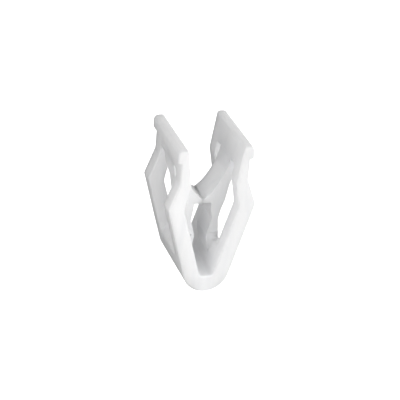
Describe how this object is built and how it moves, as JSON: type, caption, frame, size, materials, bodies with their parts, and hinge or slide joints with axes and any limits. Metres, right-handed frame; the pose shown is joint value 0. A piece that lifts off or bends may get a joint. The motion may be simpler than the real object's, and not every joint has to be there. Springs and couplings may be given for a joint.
{
  "type": "push-in spring wall anchor",
  "caption": "White nylon push-in spring anchor: sprung arms on a rounded nose, lips and locking shoulders for a wall slot, barbed inner leaves that grip a blade.",
  "frame": {"origin": "middle of the panel slot at the panel's outer face, level with the undersides of the lips", "axes": "+Z out of the wall, away from the nose; X across the two arms; Y along the slot"},
  "size_m": [0.012, 0.0114, 0.021],
  "materials": {
    "white_nylon": "satin moulded white nylon, slightly translucent"
  },
  "bodies": {
    "nose": {"nose_bow": "white_nylon"},
    "left_arm": {"left_head_plate": "white_nylon", "left_lip": "white_nylon", "left_front_neck": "white_nylon", "left_back_neck": "white_nylon", "left_front_leg": "white_nylon", "left_back_leg": "white_nylon", "left_foot": "white_nylon", "left_stem_root": "white_nylon"},
    "left_leaf": {"left_tongue": "white_nylon", "left_barb": "white_nylon"},
    "left_leaf_stem": {"left_stem": "white_nylon"},
    "right_arm": {"right_head_plate": "white_nylon", "right_lip": "white_nylon", "right_front_neck": "white_nylon", "right_back_neck": "white_nylon", "right_front_leg": "white_nylon", "right_back_leg": "white_nylon", "right_foot": "white_nylon", "right_stem_root": "white_nylon"},
    "right_leaf": {"right_tongue": "white_nylon", "right_barb": "white_nylon"},
    "right_leaf_stem": {"right_stem": "white_nylon"}
  },
  "joints": [
    {"name": "left_arm_squeeze", "type": "hinge", "parent": "nose", "child": "left_arm", "pos_m": [-0.00233, 0, -0.0156], "axis": [0, 1, 0], "range_deg": [0, 8], "stiffness_Nm_per_rad": 0.005},
    {"name": "left_tongue_flex", "type": "hinge", "parent": "left_arm", "child": "left_leaf", "pos_m": [-0.00392, 0, -0.0019], "axis": [0, 1, 0], "range_deg": [0, 10.8]},
    {"name": "left_knee_flex", "type": "hinge", "parent": "left_leaf", "child": "left_leaf_stem", "pos_m": [-0.002, 0, -0.00835], "axis": [0, -1, 0], "range_deg": [0, 29.6]},
    {"name": "right_arm_squeeze", "type": "hinge", "parent": "nose", "child": "right_arm", "pos_m": [0.00233, 0, -0.0156], "axis": [0, -1, 0], "range_deg": [0, 8], "stiffness_Nm_per_rad": 0.005},
    {"name": "right_tongue_flex", "type": "hinge", "parent": "right_arm", "child": "right_leaf", "pos_m": [0.00392, 0, -0.0019], "axis": [0, -1, 0], "range_deg": [0, 10.8]},
    {"name": "right_knee_flex", "type": "hinge", "parent": "right_leaf", "child": "right_leaf_stem", "pos_m": [0.002, 0, -0.00835], "axis": [0, 1, 0], "range_deg": [0, 29.6]}
  ],
  "couplings": [
    {"joint": "left_tongue_flex", "follows": "left_arm_squeeze", "ratio": 1.35},
    {"joint": "left_knee_flex", "follows": "left_arm_squeeze", "ratio": 3.7},
    {"joint": "right_tongue_flex", "follows": "right_arm_squeeze", "ratio": 1.35},
    {"joint": "right_knee_flex", "follows": "right_arm_squeeze", "ratio": 3.7}
  ]
}
